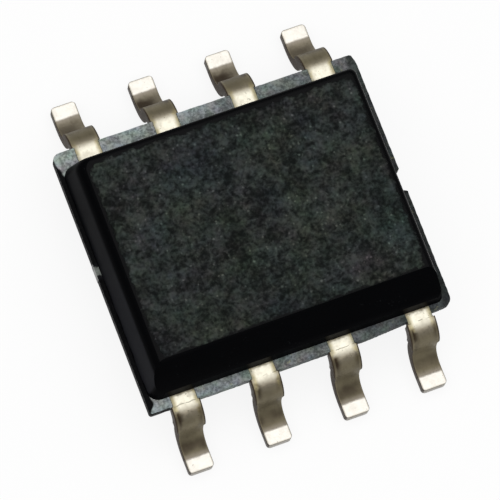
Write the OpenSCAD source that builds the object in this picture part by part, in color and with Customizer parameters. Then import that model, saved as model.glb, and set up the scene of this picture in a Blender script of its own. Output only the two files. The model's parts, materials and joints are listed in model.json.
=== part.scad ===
// Eight-lead small-outline integrated circuit package, narrow body.
// Origin: centre of the seating plane, under the feet. +X runs along the rows of leads,
// +Z points up. Lead 1 is at -X, -Y; the numbers run counter-clockwise seen from above.
// Lengths are in millimetres.

/* [Package] */
// Distance between neighbouring leads of a row
lead_pitch = 1.27; // [1.2:0.01:1.3]
// Width across the tips of the feet
overall_width = 6.1; // [6:0.05:6.5]
// Height from the seating plane to the top face
package_height = 1.6; // [1.5:0.05:1.75]
// Gap between the seating plane and the underside of the moulding
stand_off = 0.15; // [0.1:0.01:0.25]

/* [Moulding] */
// Length of the moulded block at the leadframe
block_length = 4.73; // [4.65:0.01:4.95]
// Width of the moulded block at the leadframe
block_width = 3.85; // [3.75:0.01:3.95]
// How far the block sits off the middle, towards leads 1 to 4
block_shift = 0.05; // [0:0.01:0.08]
// Lean of the long side walls and of the whole lower half, in degrees
side_draft_angle = 9; // [5:0.5:12]
// Lean of the end wall beside leads 1 and 8, where the mould was filled, in degrees
gate_draft_angle = 15; // [7:0.5:18]
// Lean of the end wall beside leads 4 and 5, in degrees
end_draft_angle = 7; // [5:0.5:12]
// Radius of the rounded edge round the top face
edge_radius = 0.14; // [0.05:0.01:0.18]
// Radius of the same edge at the gate end, where it is broader
gate_edge_radius = 0.25; // [0.15:0.01:0.3]
// Radius of the upright corners at the gate end
gate_corner_radius = 0.2; // [0.1:0.01:0.3]
// Radius of the upright corners at the other end
end_corner_radius = 0.12; // [0.08:0.01:0.2]
// Width of the sloping index flat along leads 1 to 4
index_flat = 0.35; // [0.25:0.01:0.38]
// Diameter of the ejector pin mark under the block
ejector_mark = 0.9; // [0.5:0.1:1.5]
// Depth of the ejector pin mark
ejector_depth = 0.03; // [0.02:0.01:0.05]

/* [Flash rim] */
// Width of the rim of mould flash across the long sides
rim_width = 4.28; // [4.2:0.01:4.4]
// How far the rim stands out past the block at the end away from the gate
rim_end = 0.14; // [0.1:0.01:0.2]
// How far the rim stands out past the block at the gate end
rim_gate = 0.07; // [0.04:0.01:0.1]
// Corner radius of the rim
rim_radius = 0.12; // [0.05:0.01:0.18]
// Length of the chip off the rim corner beside lead 5
rim_chip = 0.2; // [0.1:0.01:0.25]
// Width of the notch that the trimmed tie bar leaves in the rim
notch_width = 0.28; // [0.27:0.01:0.4]

/* [Leads] */
// Width of a lead
lead_width = 0.4; // [0.35:0.01:0.45]
// Thickness of the leadframe
lead_thickness = 0.2; // [0.17:0.01:0.22]
// Straight length of a lead between the rim and its first bend
shoulder_length = 0.01; // [0.01:0.01:0.04]
// Inside radius of the bend at the shoulder
shoulder_radius = 0.15; // [0.1:0.01:0.17]
// Inside radius of the bend at the heel
heel_radius = 0.27; // [0.16:0.01:0.28]
// Slope of the leg, in degrees from the horizontal
leg_angle = 83; // [80:0.5:87]
// Corner radius of the foot
toe_radius = 0.06; // [0.03:0.01:0.1]
// How far the cut stubs of the dam bar stand out on each side of a lead
dambar_stub = 0.04; // [0.02:0.01:0.06]
// Depth from the top of a lead down to the foot of its dam bar stubs
stub_depth = 0.32; // [0.22:0.01:0.4]
// Height over which a stub runs out into the side of the leg
stub_taper = 0.08; // [0.04:0.01:0.12]

/* [Inner leadframe] */
// Length of the die pad
pad_length = 2.5; // [2.2:0.05:2.6]
// Width of the die pad
pad_width = 2; // [1.7:0.05:2.1]
// How far the die pad lies below the leads
downset_depth = 0.2; // [0.12:0.01:0.25]
// Width of the tie bars that held the die pad
tie_bar_width = 0.26; // [0.2:0.01:0.27]
// How far the tie bar at the gate end lies off the middle
gate_bar_offset = 0.2; // [0:0.01:0.22]
// Gap between the die pad and the tips of the leads
tip_gap = 0.2; // [0.15:0.01:0.25]
// Width of the locking head at the tip of a middle lead
head_width = 0.78; // [0.65:0.01:0.85]
// Depth of the locking head at the tip of a middle lead
head_depth = 0.3; // [0.25:0.01:0.35]
// Width of the bond area at the tip of a corner lead
corner_head_width = 0.6; // [0.55:0.01:0.65]
// Distance from the middle of the package to the tip of a corner lead
corner_tip = 0.55; // [0.5:0.01:0.65]
// Diameter of the locking hole through a corner lead
lock_hole = 0.22; // [0.15:0.01:0.26]

/* [Die and bond wires] */
// Length of the silicon die
die_length = 1.7; // [1.4:0.05:1.9]
// Width of the silicon die
die_width = 1.3; // [1.1:0.05:1.5]
// Thickness of the silicon die
die_thickness = 0.25; // [0.2:0.01:0.3]
// Thickness of the die attach adhesive
attach_thickness = 0.03; // [0.02:0.005:0.05]
// How far the adhesive shows past the die on each side
attach_margin = 0.06; // [0.03:0.01:0.1]
// Diameter of a bond wire
wire_diameter = 0.025; // [0.02:0.001:0.033]
// Diameter of the ball at the die end of a wire
ball_diameter = 0.065; // [0.05:0.001:0.08]
// Height of a wire loop above the die
loop_height = 0.17; // [0.12:0.01:0.22]
// Distance from the die's edge to the middle of a bond pad
bond_inset = 0.09; // [0.07:0.01:0.12]
// Distance from a lead's tip to the middle of its stitch bond
stitch_inset = 0.15; // [0.12:0.01:0.18]

/* [Hidden] */
count_per_row = 4;
lead_count = 2 * count_per_row;
$fn = 48;
corner_steps = 6;    // facets of an upright corner of the block
edge_steps = 5;      // facets of the rounded top edge
wire_sides = 6;      // facets round a bond wire
loop_steps = 9;      // stretches along a wire loop
bend_steps = 10;     // facets of a bend in a lead
past = 0.5;          // how far a cutter runs past what it cuts

// Heights
leadframe_z = stand_off + (package_height - stand_off - lead_thickness) / 2;
leadframe_top = leadframe_z + lead_thickness;
upper_height = package_height - leadframe_top;
lower_height = leadframe_z - stand_off;
pad_top = leadframe_top - downset_depth;
die_base = pad_top + attach_thickness;
die_top = die_base + die_thickness;

// Sides of the block and of its rim
overall_length = rim_gate + block_length + rim_end;
gate_x = rim_gate - overall_length / 2;
end_x = gate_x + block_length;
near_y = -block_width / 2 - block_shift;
far_y = block_width / 2 - block_shift;
rim_y = rim_width / 2;

// Bends of a lead, in the plane that runs outwards and up
toe_y = overall_width / 2;
bend_start = rim_y + shoulder_length;
shoulder_z = leadframe_z - shoulder_radius;
shoulder_outer = shoulder_radius + lead_thickness;
// the heel's bend is limited by the room up to the rounded corners of the foot
heel_room = toe_y - toe_radius - bend_start - shoulder_outer / sin(leg_angle)
    - (shoulder_z - lead_thickness) / tan(leg_angle);
heel_bend = min(heel_radius, heel_room / tan(leg_angle / 2));
heel_z = lead_thickness + heel_bend;
heel_outer = heel_bend + lead_thickness;
stub_x = lead_width / 2 + dambar_stub;
bend_reach = shoulder_outer + heel_bend;
leg_length = (shoulder_z - heel_z + bend_reach * cos(leg_angle)) / sin(leg_angle);
heel_y = bend_start + bend_reach * sin(leg_angle) + leg_length * cos(leg_angle);
middle_tip = pad_width / 2 + tip_gap;
lock_hole_y = corner_tip + 2 * stitch_inset + lock_hole / 2;

// ---------------------------------------------------------------- moulding

// Inset of a drafted wall at height z of a half that is h high, with its far edge
// rounded to radius r.
function wall_inset(z, h, draft, r) =
    let (mid_z = h - r,
         tangent_z = mid_z + r * sin(draft),
         mid = mid_z * tan(draft) + r / cos(draft))
    z <= tangent_z ? z * tan(draft) : mid - sqrt(max(0, r * r - pow(z - mid_z, 2)));

// Inset of the wall beside leads 1 to 4, whose upper part is the index flat at 45 degrees
function index_inset(z, h, r) =
    max(wall_inset(z, h, side_draft_angle, r), h * tan(side_draft_angle) + index_flat - (h - z));

// Outline of a block at height z: a rectangle with round corners, as 3-D points
function outline(z, left, right, near, far) =
    let (corners = [[right, far, end_corner_radius, 0], [left, far, gate_corner_radius, 90],
                    [left, near, gate_corner_radius, 180], [right, near, end_corner_radius, 270]])
    [for (c = corners, i = [0:corner_steps])
        let (a = c[3] + 90 * i / corner_steps,
             inward = [c[3] == 0 || c[3] == 270 ? -1 : 1, c[3] < 180 ? -1 : 1])
        [c[0] + c[2] * (inward[0] + cos(a)), c[1] + c[2] * (inward[1] + sin(a)), z]];

// Solid through a stack of outlines with the same number of points
module loft(rings) {
    n = len(rings[0]);
    last = len(rings) - 1;
    sides = [for (k = [0:last - 1], i = [0:n - 1])
        let (a = k * n, b = a + n, j = (i + 1) % n) [a + i, b + i, b + j, a + j]];
    caps = [[for (i = [0:n - 1]) i], [for (i = [n - 1:-1:0]) last * n + i]];
    polyhedron([for (ring = rings) each ring], concat(caps, sides), convexity = 4);
}

// Heights of the outlines: foot of the wall, foot of the index flat, then up the rounded edge
function upper_levels() =
    let (flat_z = upper_height - index_flat / (1 - tan(side_draft_angle)))
    concat([0, flat_z],
           [for (i = [0:edge_steps])
               upper_height - edge_radius
               + edge_radius * sin(side_draft_angle + (90 - side_draft_angle) * i / edge_steps)]);

module upper_half()
    translate([0, 0, leadframe_top])
        loft([for (z = upper_levels())
            outline(z,
                    gate_x + wall_inset(z, upper_height, gate_draft_angle, gate_edge_radius),
                    end_x - wall_inset(z, upper_height, end_draft_angle, edge_radius),
                    near_y + index_inset(z, upper_height, edge_radius),
                    far_y - wall_inset(z, upper_height, side_draft_angle, edge_radius))]);

module lower_half()
    translate([0, 0, leadframe_z])
        mirror([0, 0, 1])
            loft([for (z = [0, lower_height])
                let (lean = z * tan(side_draft_angle))
                outline(z, gate_x + lean, end_x - lean, near_y + lean, far_y - lean)]);

module rim_outline() {
    difference() {
        union() {
            square([overall_length - 2 * rim_radius, rim_width], center = true);
            square([overall_length, rim_width - 2 * rim_radius], center = true);
            for (x = [-1, 1], y = [-1, 1])
                translate([x * (overall_length / 2 - rim_radius), y * (rim_y - rim_radius)])
                    circle(r = rim_radius);
        }
        // chip off the corner beside lead 5
        translate([overall_length / 2, rim_y])
            polygon([[past, past], [-rim_chip / 2, past], [-rim_chip / 2, 0],
                     [0, -rim_chip], [past, -rim_chip]]);
        // notch of the trimmed tie bar
        polygon([[end_x, -notch_width / 2], [end_x, notch_width / 2],
                 [end_x + past, notch_width], [end_x + past, -notch_width]]);
    }
}

module moulding()
    difference() {
        union() {
            upper_half();
            lower_half();
            translate([0, 0, leadframe_z])
                linear_extrude(lead_thickness) rim_outline();
        }
        translate([0, -block_shift, stand_off - past])
            cylinder(d = ejector_mark, h = past + ejector_depth);
    }

module mould_body()
    color("#3d4142")
        difference() {
            moulding();
            for (i = [1:lead_count]) {
                lead(i);
                bond_wire(i);
            }
            die_pad();
            die_attach();
            silicon_die();
        }

// ------------------------------------------------------------------- leads

// Leads 1 to 4 are on the near side from the gate end, 5 to 8 come back on the far side
function is_near(i) = i <= count_per_row;
function row_place(i) = is_near(i) ? i - 1 : lead_count - i;
function lead_x(i) = (row_place(i) - (count_per_row - 1) / 2) * lead_pitch;
function side(i) = is_near(i) ? -1 : 1;
function is_corner(i) = row_place(i) == 0 || row_place(i) == count_per_row - 1;
function end_side(i) = lead_x(i) < 0 ? -1 : 1;
// Sideways shift of a corner lead's head, which clears the die pad
function head_shift(i) = is_corner(i)
    ? pad_length / 2 + tip_gap + corner_head_width / 2 - abs(lead_x(i)) : 0;

// Flat inner part, seen from above, with the lead's own middle at x = 0 and its foot towards +y
module inner_plan(i) {
    tip = is_corner(i) ? corner_tip : middle_tip;
    head = is_corner(i) ? [corner_head_width, 2 * (lock_hole_y - corner_tip) - stitch_inset]
                        : [head_width, head_depth];
    shift = head_shift(i) * end_side(i) * side(i);
    difference() {
        union() {
            translate([-lead_width / 2, tip + head[1] / 2])
                square([lead_width, rim_y - tip - head[1] / 2]);
            translate([shift - head[0] / 2, tip]) square(head);
        }
        if (is_corner(i))
            translate([shift, lock_hole_y]) circle(d = lock_hole);
    }
}

function arc(centre, radius, from, to, steps) =
    [for (k = [0:steps])
        let (a = from + (to - from) * k / steps)
        [centre[0] + radius * cos(a), centre[1] + radius * sin(a)]];

// Side view of the bent part: over the shoulder, down the leg, out along the foot and back
module lead_side() {
    shoulder = [bend_start, shoulder_z];
    heel = [heel_y, heel_z];
    lean = 90 - leg_angle;
    polygon(concat(
        [[rim_y, leadframe_top]],
        arc(shoulder, shoulder_outer, 90, lean, bend_steps),
        arc(heel, heel_bend, 180 + lean, 270, bend_steps),
        [[toe_y, lead_thickness], [toe_y, 0]],
        arc(heel, heel_outer, 270, 180 + lean, bend_steps),
        arc(shoulder, shoulder_radius, lean, 90, bend_steps),
        [[rim_y, leadframe_z]]));
}

// Front view of the same part, wider at the top by the stubs of the dam bar
module lead_front() {
    stub_z = leadframe_top - stub_depth;
    half = [[lead_width / 2, 0], [lead_width / 2, stub_z - stub_taper],
            [stub_x, stub_z], [stub_x, leadframe_top]];
    polygon(concat(half, [for (k = [3:-1:0]) [-half[k][0], half[k][1]]]));
}

module outer_lead()
    difference() {
        intersection() {
            translate([-stub_x, 0, 0])
                rotate([90, 0, 90]) linear_extrude(2 * stub_x) lead_side();
            translate([0, overall_width, 0])
                rotate([90, 0, 0]) linear_extrude(overall_width) lead_front();
        }
        // rounded corners of the foot
        for (s = [-1, 1])
            translate([s * (lead_width / 2 - toe_radius), toe_y - toe_radius, -past])
                difference() {
                    translate([s > 0 ? 0 : -past, 0, 0]) cube([past, past, past + heel_z]);
                    cylinder(r = toe_radius, h = past + heel_z);
                }
    }

module lead(i)
    color("#b9b4a4")
        translate([lead_x(i), 0, 0])
            rotate([0, 0, is_near(i) ? 180 : 0]) {
                translate([0, 0, leadframe_z])
                    linear_extrude(lead_thickness) inner_plan(i);
                outer_lead();
            }

// -------------------------------------------------------- die pad and die

// Tie bar seen from the side: flat at the leads' level, then down to the die pad
module tie_bar(from_x, to_x, y)
    translate([0, y + tie_bar_width / 2, 0])
        rotate([90, 0, 0])
            linear_extrude(tie_bar_width) {
                s = sign(to_x - from_x);
                foot = from_x + s * downset_depth;
                polygon([[from_x, pad_top], [foot, leadframe_top], [to_x, leadframe_top],
                         [to_x, leadframe_z], [foot + s * lead_thickness * tan(22.5), leadframe_z],
                         [from_x + s * lead_thickness * tan(22.5), pad_top - lead_thickness],
                         [from_x, pad_top - lead_thickness]]);
            }

module die_pad()
    color("#c0875a") {
        translate([-pad_length / 2, -pad_width / 2, pad_top - lead_thickness])
            cube([pad_length, pad_width, lead_thickness]);
        tie_bar(-pad_length / 2, -overall_length / 2, gate_bar_offset);
        tie_bar(pad_length / 2, end_x, 0);
    }

module centred_slab(length, width, base, thickness)
    translate([-length / 2, -width / 2, base]) cube([length, width, thickness]);

module die_attach()
    color("#c9c9c4")
        centred_slab(die_length + 2 * attach_margin, die_width + 2 * attach_margin,
                     pad_top, attach_thickness);

module silicon_die()
    color("#565b66")
        centred_slab(die_length, die_width, die_base, die_thickness);

// -------------------------------------------------------------- bond wires

// Bond pad on the die, and stitch bond on the lead, both in plan
function bond_pad(i) = is_corner(i)
    ? [end_side(i) * (die_length / 2 - bond_inset), side(i) * die_width / 4]
    : [end_side(i) * die_length / 4, side(i) * (die_width / 2 - bond_inset)];
function stitch(i) = is_corner(i)
    ? [end_side(i) * (pad_length / 2 + tip_gap + stitch_inset), side(i) * (corner_tip + stitch_inset)]
    : [lead_x(i), side(i) * (middle_tip + stitch_inset)];

// Cubic curve through the loop, in the wire's own upright plane: p runs along, q runs up
function bezier(a, b, c, d, t) =
    pow(1 - t, 3) * a + 3 * pow(1 - t, 2) * t * b + 3 * (1 - t) * t * t * c + t * t * t * d;

// Hexagonal ring round point p, square to a direction that rises by the given angle
function wire_ring(p, rise, radius) =
    [for (k = [0:wire_sides - 1])
        let (a = 360 * k / wire_sides)
        [p[0] - radius * sin(rise) * cos(a), radius * sin(a), p[1] + radius * cos(rise) * cos(a)]];

module bond_wire(i) {
    from = bond_pad(i);
    to = stitch(i);
    span = norm(to - from);
    ball = ball_diameter / 2;
    wire = wire_diameter / 2;
    start = [0, die_top + ball];
    landing = [span, leadframe_top];
    top = [0, die_top + loop_height * 4 / 3];
    over = [span / 2, die_top + loop_height * 4 / 3];
    loop = [for (k = [0:loop_steps]) bezier(start, top, over, landing, k / loop_steps)];
    rings = concat(
        [wire_ring([0, die_top], 90, ball), wire_ring([0, die_top + ball / 2], 90, ball),
         wire_ring(start, 90, wire)],
        [for (k = [1:loop_steps - 1])
            let (d = loop[k + 1] - loop[k - 1]) wire_ring(loop[k], atan2(d[1], d[0]), wire)],
        [wire_ring(landing, -90, ball * 0.7)]);
    color("#d8a63c")
        translate([from[0], from[1], 0])
            rotate([0, 0, atan2(to[1] - from[1], to[0] - from[0])])
                loft(rings);
}

// ------------------------------------------------------------------- nodes

mould_body();
for (i = [1:lead_count])
    lead(i);
die_pad();
die_attach();
silicon_die();
for (i = [1:lead_count])
    bond_wire(i);
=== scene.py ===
"""Looks of an eight-lead small-outline integrated circuit package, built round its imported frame.

The moulded block and the eight plated leads are modelled here over the frame's own solids.
The die pad, adhesive, die and bond wires inside keep the frame's meshes and get finishes.
Pieces are modelled in millimetres, the size a toolmaker thinks in, and brought down to
metres when they are done, so that each ends with its place in its mesh.
"""

import json
import math
from collections import namedtuple

import bmesh
import bpy
from mathutils import Matrix, Vector

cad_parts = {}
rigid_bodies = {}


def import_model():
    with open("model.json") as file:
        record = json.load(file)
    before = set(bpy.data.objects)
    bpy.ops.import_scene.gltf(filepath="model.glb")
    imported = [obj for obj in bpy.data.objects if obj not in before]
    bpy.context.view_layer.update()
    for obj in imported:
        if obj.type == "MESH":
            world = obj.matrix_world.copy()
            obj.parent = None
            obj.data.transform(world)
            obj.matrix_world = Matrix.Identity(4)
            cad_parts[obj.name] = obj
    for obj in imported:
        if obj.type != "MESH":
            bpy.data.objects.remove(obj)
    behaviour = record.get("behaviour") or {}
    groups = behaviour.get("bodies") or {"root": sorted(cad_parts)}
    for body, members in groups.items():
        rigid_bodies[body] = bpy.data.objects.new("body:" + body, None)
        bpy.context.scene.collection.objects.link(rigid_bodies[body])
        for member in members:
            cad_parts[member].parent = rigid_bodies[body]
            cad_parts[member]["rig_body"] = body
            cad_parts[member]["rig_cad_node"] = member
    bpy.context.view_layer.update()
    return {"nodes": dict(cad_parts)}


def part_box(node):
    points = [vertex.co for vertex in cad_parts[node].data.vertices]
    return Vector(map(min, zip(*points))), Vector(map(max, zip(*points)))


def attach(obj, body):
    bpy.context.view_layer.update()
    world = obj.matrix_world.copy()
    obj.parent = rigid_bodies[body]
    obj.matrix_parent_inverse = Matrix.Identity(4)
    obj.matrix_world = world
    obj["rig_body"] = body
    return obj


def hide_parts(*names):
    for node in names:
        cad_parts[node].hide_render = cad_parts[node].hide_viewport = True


bl_info = {
    "name": "Small-outline package",
    "version": (1, 0, 0),
    "blender": (4, 5, 0),
    "location": "3D View > Sidebar > Package",
    "description": "Moulded block, plated leads, inner leadframe and studio of a chip package",
    "category": "Add Mesh",
}

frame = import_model()
MM = 0.001
NEAR_LEADS = ("lead_1", "lead_2", "lead_3", "lead_4")
FAR_LEADS = ("lead_5", "lead_6", "lead_7", "lead_8")
SEALED = sorted(name for name in frame["nodes"] if name != "mould_body")
Sides = namedtuple("Sides", "gate end near far")
# finishes of the moulding, in the order of its materials
WALL, GRAIN, RIM = range(3)
# sockets of a colour Mix node, by number because its names repeat
MIX_FACTOR, MIX_FIRST, MIX_SECOND, MIX_RESULT = 0, 6, 7, 2


def sides_of(node):
    """Lowest and highest corner of a node of the frame, in millimetres."""
    low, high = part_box(node)
    return low / MM, high / MM


BODY_LOW, BODY_HIGH = sides_of("mould_body")
LEAD_LOW, LEAD_HIGH = sides_of("lead_7")
CORNER_LOW, CORNER_HIGH = sides_of("lead_8")
LEADFRAME_TOP = LEAD_HIGH.z
FOOT_TIP = LEAD_HIGH.y
RIM_Y = BODY_HIGH.y
RIM_X = BODY_HIGH.x
TOP_Z = BODY_HIGH.z
BASE_Z = BODY_LOW.z


def length(name, text, default):
    """A length property whose default is given in millimetres."""
    return bpy.props.FloatProperty(name=name, description=text, default=default * MM,
                                   unit="LENGTH", subtype="DISTANCE", precision=6)


def angle(name, text, degrees):
    """An angle property whose default is given in degrees."""
    return bpy.props.FloatProperty(name=name, description=text,
                                   default=math.radians(degrees), subtype="ANGLE")


def colour(name, text, default):
    """A colour property, in linear light."""
    return bpy.props.FloatVectorProperty(name=name, description=text, default=default,
                                         subtype="COLOR", size=3, min=0, max=1)


def share(name, text, default):
    """A property from 0 to 1."""
    return bpy.props.FloatProperty(name=name, description=text, default=default,
                                   subtype="FACTOR", min=0, max=1)


# ------------------------------------------------------------------ settings


class MouldingSettings(bpy.types.PropertyGroup):
    """Sizes and colours of the moulded block and its rim of flash."""

    block_length: length("Block length", "Length of the block at the leadframe", 4.75)
    block_width: length("Block width", "Width of the block at the leadframe", 3.85)
    block_shift: length("Block shift", "How far the block sits towards leads 1 to 4", 0.05)
    side_draft: angle("Side draft", "Lean of the long side walls", 9)
    gate_ledge: length("Gate ledge", "How far the rim stands out at the gate end", 0.07)
    gate_draft: angle("Gate draft", "Lean of the end wall where the mould was filled", 15)
    end_draft: angle("End draft", "Lean of the other end wall", 7)
    edge_radius: length("Edge radius", "Rounding of the edge round the top face", 0.14)
    gate_edge: length("Gate edge radius", "Rounding of the top edge at the gate end", 0.25)
    gate_corner: length("Gate corners", "Radius of the upright corners at the gate end", 0.2)
    end_corner: length("End corners", "Radius of the upright corners at the other end", 0.12)
    index_flat: length("Index flat", "Width of the sloping flat along leads 1 to 4", 0.35)
    rim_radius: length("Rim corners", "Radius of the corners of the rim", 0.12)
    rim_tip: length("Rim tip", "Radius of the sharper rim corner at lead 1", 0.04)
    rim_chip: length("Rim chip", "Length of the chip off the rim corner at lead 5", 0.17)
    rim_break: length("Rim break", "How far the rim is broken back at lead 4", 0.09)
    notch_width: length("Notch", "Width of the notch left by the trimmed tie bar", 0.26)
    notch_corner: length("Notch corners", "Radius of the corners of the notch", 0.05)
    rim_edge: length("Rim edge", "Rounding of the edges of the rim", 0.014)
    rim_wear: length("Rim wear", "How far the broken edge of the rim wanders", 0.003)
    ejector_mark: length("Ejector mark", "Diameter of the pin mark underneath", 0.9)
    ejector_depth: length("Ejector depth", "Depth of the pin mark underneath", 0.03)
    grain_cell: length("Grain cell", "Mesh spacing of the grain on the top face", 0.021)
    grain_depth: length("Grain depth", "Depth of the grain on the top face", 0.009)
    grain_corner: length("Grain corners", "Radius of the corners of the grained field", 0.18)
    grain_border: length("Grain border", "How far the border of the grain wanders", 0.22)
    wall_colour: colour("Walls", "Polished walls", (0.0019, 0.0020, 0.0024))
    # colour of the painted reflection of the floor on the gate wall
    painted_reflection_colour: colour("Wall film", "Dull film on the gate wall", (0.0125, 0.0129, 0.0155))
    grain_dark: colour("Grain hollows", "Hollows of the grain", (0.0035, 0.0047, 0.0043))
    grain_pale: colour("Grain tips", "Tips of the grain", (0.045, 0.053, 0.049))
    # colour of the painted glints, bright spots where light would catch tiny facets of the grain
    glint_colour: colour("Flakes", "Bright filler flakes in the grain", (0.15, 0.165, 0.15))
    rim_colour: colour("Rim", "Dusty rim of flash", (0.19, 0.213, 0.208))
    wall_roughness: share("Wall roughness", "Roughness of the polished walls", 0.3)
    grain_roughness: share("Grain roughness", "Roughness of the grained top", 0.62)


class LeadSettings(bpy.types.PropertyGroup):
    """Sizes and colours of the plated leads."""

    lead_width: length("Lead width", "Width of a lead", 0.4)
    thickness: length("Thickness", "Thickness of the leadframe", 0.2)
    pitch: length("Pitch", "Distance between the leads of a row", 1.27)
    shoulder_tuck: length("Shoulder tuck", "How far inside the rim the bend starts", 0.06)
    shoulder_radius: length("Shoulder radius", "Inside radius of the shoulder bend", 0.2)
    heel_radius: length("Heel radius", "Inside radius of the heel bend", 0.28)
    leg_angle: angle("Leg angle", "Slope of the leg from the horizontal", 83.5)
    foot_crease: length("Foot crease", "Length of the pressed flat of a foot", 0.22)
    toe_radius: length("Toe radius", "Corner radius of the foot", 0.06)
    edge_radius: length("Edge radius", "Rounding of the sheared edges", 0.016)
    stub: length("Stub", "How far the cut dam bar stands out on each side", 0.032)
    stub_taper: length("Stub taper", "Height over which a stub runs out under the bend", 0.05)
    head_width: length("Head width", "Width of the locking head of a middle lead", 0.78)
    head_depth: length("Head depth", "Depth of the locking head of a middle lead", 0.3)
    corner_head: length("Corner head", "Width of the locking head of a corner lead", 0.6)
    lock_hole: length("Locking hole", "Hole through the head of a corner lead", 0.22)
    hole_inset: length("Hole inset", "From the tip of a corner lead to its hole", 0.3)
    hole_wall: length("Hole wall", "From the hole to the end of the head", 0.15)
    plate: colour("Plating", "Bright tin plating on the flats", (0.80, 0.765, 0.70))
    flat: colour("Shoulder flat", "Plating on the flats of the shoulders", (0.80, 0.765, 0.64))
    # painted shade over the shoulder bends, also the tone of the blotches on the flats
    bend: colour("Bend", "Plating stretched over the shoulder", (0.30, 0.265, 0.20))
    # painted shade: the dark tone of the legs and heels, also used along the sides of the flats
    leg_shade: colour("Tarnish", "Plating on the legs and heels", (0.165, 0.142, 0.09))
    # painted lighter tone up the heel towards the pressed foot
    heel_light: colour("Foot root", "Plating where the heel meets the foot", (0.36, 0.315, 0.26))
    fringe: colour("Fringe", "Golden fringe along the flats of the shoulders", (0.55, 0.46, 0.18))
    # the sheared sides' own colour, also the darkest tone of the painted shade on heels, bends and
    # by the stubs
    cut: colour("Cut face", "Sheared sides and stubs of the leads", (0.045, 0.031, 0.019))
    plate_roughness: share("Plating roughness", "Roughness of the plating", 0.33)


class InsideSettings(bpy.types.PropertyGroup):
    """Colours of what the moulding holds, and the place of the gate's tie bar."""

    copper: colour("Copper", "Copper alloy of the die pad", (0.62, 0.29, 0.15))
    adhesive: colour("Adhesive", "Silver-filled die attach", (0.42, 0.41, 0.38))
    gate_bar: length("Gate tie bar", "How far the tie bar at the gate lies off the middle", 0.2)
    silicon: colour("Silicon", "Polished silicon of the die", (0.10, 0.11, 0.14))
    gold: colour("Gold", "Gold of the bond wires", (0.83, 0.55, 0.16))


class StudioSettings(bpy.types.PropertyGroup):
    """Camera, floor and light."""

    azimuth: angle("Azimuth", "Turn of the camera round the package", -40.332)
    elevation: angle("Elevation", "Height of the camera over the horizon", 73.684)
    roll: angle("Roll", "Turn of the camera about its own line of sight", 20.102)
    distance: length("Distance", "Distance from the camera to its target", 65.288)
    lens: length("Lens", "Focal length on a 36 mm sensor", 310.28)
    target: bpy.props.FloatVectorProperty(
        name="Target", description="Point that the camera looks at", unit="LENGTH",
        subtype="TRANSLATION", default=(-0.000112, -0.000215, 0.0008), precision=6)
    floor_colour: colour("Floor", "Pale plain floor", (0.93, 0.93, 0.93))
    floor_white: share("Floor white", "How much of the floor shows as plain white", 0.87)
    floor_radius: length("Floor radius", "Radius of the floor", 350)
    box_radius: length("Light radius", "Radius of the overhead soft light", 150)
    box_height: length("Light height", "Height of the overhead soft light", 115)
    box_level: bpy.props.FloatProperty(
        name="Light level", description="Radiance of the overhead soft light", default=1.2)
    fill_level: share("Fill level", "Light from the room on every side", 0.22)


# --------------------------------------------------------------- hand tools


def clear_bench():
    """Leaves edit mode and deselects everything."""
    if bpy.context.object and bpy.context.object.mode != "OBJECT":
        bpy.ops.object.mode_set(mode="OBJECT")
    bpy.ops.object.select_all(action="DESELECT")


def take(piece, *others):
    """Selects these pieces alone, with the first active."""
    clear_bench()
    for one in (piece, *others):
        one.select_set(True)
    bpy.context.view_layer.objects.active = piece


def open_mesh(piece):
    """Enters edit mode on one piece, with nothing selected."""
    take(piece)
    bpy.ops.object.mode_set(mode="EDIT")
    bpy.ops.mesh.select_all(action="DESELECT")


def place(part):
    """Middle of a corner, edge or face of a mesh."""
    if isinstance(part, bmesh.types.BMVert):
        return part.co
    return sum((v.co for v in part.verts), Vector()) / len(part.verts)


def pick(kind, test):
    """Selects, in edit mode, the corners, edges or faces that test accepts."""
    bpy.ops.mesh.select_mode(type=kind)
    bpy.ops.mesh.select_all(action="DESELECT")
    data = bpy.context.edit_object.data
    mesh = bmesh.from_edit_mesh(data)
    parts = {"VERT": mesh.verts, "EDGE": mesh.edges, "FACE": mesh.faces}[kind]
    chosen = [p for p in parts if test(p)]
    if not chosen:
        raise RuntimeError(f"{bpy.context.edit_object.name}: no {kind.lower()} to select")
    for p in chosen:
        p.select_set(True)
    bmesh.update_edit_mesh(data)


def extrude(x=0, y=0, z=0):
    """Extrudes what is selected and moves it."""
    bpy.ops.mesh.extrude_region_move(TRANSFORM_OT_translate={"value": (x, y, z)})


def new_piece(name):
    """Names the primitive that was just added."""
    piece = bpy.context.object
    piece.name = piece.data.name = name
    return piece


def add_box(name, low, high):
    """A block between two corners."""
    clear_bench()
    bpy.ops.mesh.primitive_cube_add(size=1, location=(Vector(low) + Vector(high)) / 2)
    piece = new_piece(name)
    piece.scale = Vector(high) - Vector(low)
    bpy.ops.object.transform_apply(location=True, rotation=False, scale=True)
    return piece


def add_sheet(name, left, right, near, far, z):
    """A flat rectangle at height z."""
    clear_bench()
    bpy.ops.mesh.primitive_plane_add(size=1, location=((left + right) / 2, (near + far) / 2, z))
    piece = new_piece(name)
    piece.scale = (right - left, far - near, 1)
    bpy.ops.object.transform_apply(location=True, rotation=False, scale=True)
    return piece


def add_pin(name, x, y, low, high, radius):
    """An upright round cutter."""
    clear_bench()
    bpy.ops.mesh.primitive_cylinder_add(vertices=40, radius=radius, depth=high - low,
                                        location=(x, y, (low + high) / 2))
    piece = new_piece(name)
    bpy.ops.object.transform_apply(location=True, rotation=False, scale=False)
    return piece


def finish_with(piece, kind, **settings):
    """Adds one modifier with these settings and applies it."""
    take(piece)
    modifier = piece.modifiers.new(kind.title(), kind)
    for key, value in settings.items():
        setattr(modifier, key, value)
    bpy.ops.object.modifier_apply(modifier=modifier.name)


def carve(piece, operation, tool):
    """Joins a tool to a piece or cuts it away, and throws the tool out."""
    finish_with(piece, "BOOLEAN", operation=operation, solver="EXACT", object=tool)
    bpy.data.objects.remove(tool)


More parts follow.
